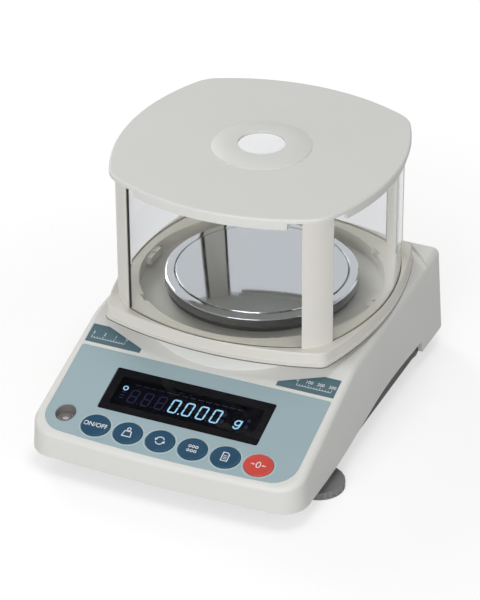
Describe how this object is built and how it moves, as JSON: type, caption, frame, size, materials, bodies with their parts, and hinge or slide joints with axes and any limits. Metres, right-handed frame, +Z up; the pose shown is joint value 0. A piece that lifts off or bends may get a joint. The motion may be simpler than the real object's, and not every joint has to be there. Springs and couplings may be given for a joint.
{
  "type": "digital lab scale",
  "caption": "Digital precision balance with a bowed glass draft shield, round steel pan, sloping display panel, oval keys, bubble level and turning levelling feet.",
  "frame": {"origin": "on the bench, at the centre of the footprint", "axes": "+Z up, -Y is the front with the keys, +X is the user's right"},
  "size_m": [0.208, 0.2624, 0.1792],
  "materials": {
    "cream_plastic": "satin moulded",
    "dark_plastic": "fine grain",
    "fascia_film": "printed film",
    "smoked_window": "smoked",
    "tube_glass": "dark glass",
    "board_green": "solder mask",
    "black_plastic": "moulded",
    "grey_plastic": "moulded",
    "level_liquid": "clear",
    "clear_glass": "clear",
    "badge_teal": "printed film",
    "blue_key": "satin",
    "red_key": "satin",
    "mirror_steel": "polished",
    "cast_aluminium": "cast",
    "spring_steel": "ground",
    "screw_steel": "zinc",
    "copper": "enamelled wire",
    "brass": "plain",
    "rubber": "plain",
    "clear_pane": "clear"
  },
  "bodies": {
    "housing": {"upper_case": "cream_plastic", "lower_case": "dark_plastic", "fascia_panel": "fascia_film", "display_window": "smoked_window", "display_tube": "tube_glass", "display_board": "board_green", "key_switches": "black_plastic", "level_cup": "grey_plastic", "level_liquid": "level_liquid", "level_lens": "clear_glass", "badge_left": "badge_teal", "badge_right": "badge_teal", "well_collar": "cream_plastic", "sensor_frame": "cast_aluminium", "load_receiver": "cast_aluminium", "sensor_flexures": "spring_steel", "sensor_lever": "cast_aluminium", "sensor_magnet": "spring_steel", "sensor_coil": "copper", "underhook": "spring_steel", "hook_screw": "screw_steel", "main_board": "board_green", "board_parts": "black_plastic", "ribbon_cable": "grey_plastic", "board_screws": "screw_steel", "case_screws": "screw_steel", "power_jack": "black_plastic", "serial_port": "screw_steel", "port_screws": "screw_steel", "earth_terminal": "brass", "rating_plate": "grey_plastic"},
    "pan": {"weighing_pan": "mirror_steel", "pan_support": "cast_aluminium", "pan_cushions": "rubber"},
    "shield": {"shield_ring": "cream_plastic", "post_rear_right": "cream_plastic", "post_rear_left": "cream_plastic", "post_front_left": "cream_plastic", "post_front_right": "cream_plastic", "pane_front": "clear_pane", "pane_right": "clear_pane", "pane_rear": "clear_pane", "pane_left": "clear_pane"},
    "lid": {"shield_lid": "cream_plastic"},
    "hook_cover": {"hook_cover": "dark_plastic"},
    "key_power": {"key_power": "blue_key"},
    "key_calibrate": {"key_calibrate": "blue_key"},
    "key_mode": {"key_mode": "blue_key"},
    "key_sample": {"key_sample": "blue_key"},
    "key_print": {"key_print": "blue_key"},
    "key_rezero": {"key_rezero": "red_key"},
    "foot_stem_front_left": {"foot_stem_front_left": "screw_steel"},
    "foot_disc_front_left": {"foot_disc_front_left": "dark_plastic"},
    "foot_stem_front_right": {"foot_stem_front_right": "screw_steel"},
    "foot_disc_front_right": {"foot_disc_front_right": "dark_plastic"},
    "foot_stem_rear_left": {"foot_stem_rear_left": "screw_steel"},
    "foot_disc_rear_left": {"foot_disc_rear_left": "dark_plastic"},
    "foot_stem_rear_right": {"foot_stem_rear_right": "screw_steel"},
    "foot_disc_rear_right": {"foot_disc_rear_right": "dark_plastic"}
  },
  "joints": [
    {"name": "press_power", "type": "slide", "parent": "housing", "child": "key_power", "axis": [0, 0.3305, -0.9438], "range_m": [0, 0.0008], "stiffness_N_per_m": 800, "springref_m": -0.0006},
    {"name": "press_calibrate", "type": "slide", "parent": "housing", "child": "key_calibrate", "axis": [0, 0.3305, -0.9438], "range_m": [0, 0.0008], "stiffness_N_per_m": 800, "springref_m": -0.0006},
    {"name": "press_mode", "type": "slide", "parent": "housing", "child": "key_mode", "axis": [0, 0.3305, -0.9438], "range_m": [0, 0.0008], "stiffness_N_per_m": 800, "springref_m": -0.0006},
    {"name": "press_sample", "type": "slide", "parent": "housing", "child": "key_sample", "axis": [0, 0.3305, -0.9438], "range_m": [0, 0.0008], "stiffness_N_per_m": 800, "springref_m": -0.0006},
    {"name": "press_print", "type": "slide", "parent": "housing", "child": "key_print", "axis": [0, 0.3305, -0.9438], "range_m": [0, 0.0008], "stiffness_N_per_m": 800, "springref_m": -0.0006},
    {"name": "press_rezero", "type": "slide", "parent": "housing", "child": "key_rezero", "axis": [0, 0.3305, -0.9438], "range_m": [0, 0.0008], "stiffness_N_per_m": 800, "springref_m": -0.0006},
    {"name": "pan_lift", "type": "slide", "parent": "housing", "child": "pan", "axis": [0, 0, 1], "range_m": [0, 0.06]},
    {"name": "shield_lift", "type": "slide", "parent": "housing", "child": "shield", "axis": [0, 0, 1], "range_m": [0, 0.1]},
    {"name": "lid_lift", "type": "slide", "parent": "shield", "child": "lid", "axis": [0, 0, 1], "range_m": [0, 0.06]},
    {"name": "hook_cover_swing", "type": "hinge", "parent": "housing", "child": "hook_cover", "pos_m": [0.016, 0.035, 0.0113], "axis": [0, 0, 1], "range_deg": [0, 110]},
    {"name": "foot_travel_front_left", "type": "slide", "parent": "housing", "child": "foot_stem_front_left", "axis": [0, 0, -1], "range_m": [0, 0.006]},
    {"name": "foot_turn_front_left", "type": "hinge", "parent": "foot_stem_front_left", "child": "foot_disc_front_left", "pos_m": [-0.0865, -0.072, 0.0025], "axis": [0, 0, -1], "range_deg": [0, 2160]},
    {"name": "foot_travel_front_right", "type": "slide", "parent": "housing", "child": "foot_stem_front_right", "axis": [0, 0, -1], "range_m": [0, 0.006]},
    {"name": "foot_turn_front_right", "type": "hinge", "parent": "foot_stem_front_right", "child": "foot_disc_front_right", "pos_m": [0.0865, -0.072, 0.0025], "axis": [0, 0, -1], "range_deg": [0, 2160]},
    {"name": "foot_travel_rear_left", "type": "slide", "parent": "housing", "child": "foot_stem_rear_left", "axis": [0, 0, -1], "range_m": [0, 0.006]},
    {"name": "foot_turn_rear_left", "type": "hinge", "parent": "foot_stem_rear_left", "child": "foot_disc_rear_left", "pos_m": [-0.07, 0.1, 0.0025], "axis": [0, 0, -1], "range_deg": [0, 2160]},
    {"name": "foot_travel_rear_right", "type": "slide", "parent": "housing", "child": "foot_stem_rear_right", "axis": [0, 0, -1], "range_m": [0, 0.006]},
    {"name": "foot_turn_rear_right", "type": "hinge", "parent": "foot_stem_rear_right", "child": "foot_disc_rear_right", "pos_m": [0.07, 0.1, 0.0025], "axis": [0, 0, -1], "range_deg": [0, 2160]}
  ],
  "couplings": [
    {"joint": "foot_travel_front_left", "follows": "foot_turn_front_left", "m_per_rad": 0.00015915},
    {"joint": "foot_travel_front_right", "follows": "foot_turn_front_right", "m_per_rad": 0.00015915},
    {"joint": "foot_travel_rear_left", "follows": "foot_turn_rear_left", "m_per_rad": 0.00015915},
    {"joint": "foot_travel_rear_right", "follows": "foot_turn_rear_right", "m_per_rad": 0.00015915}
  ]
}
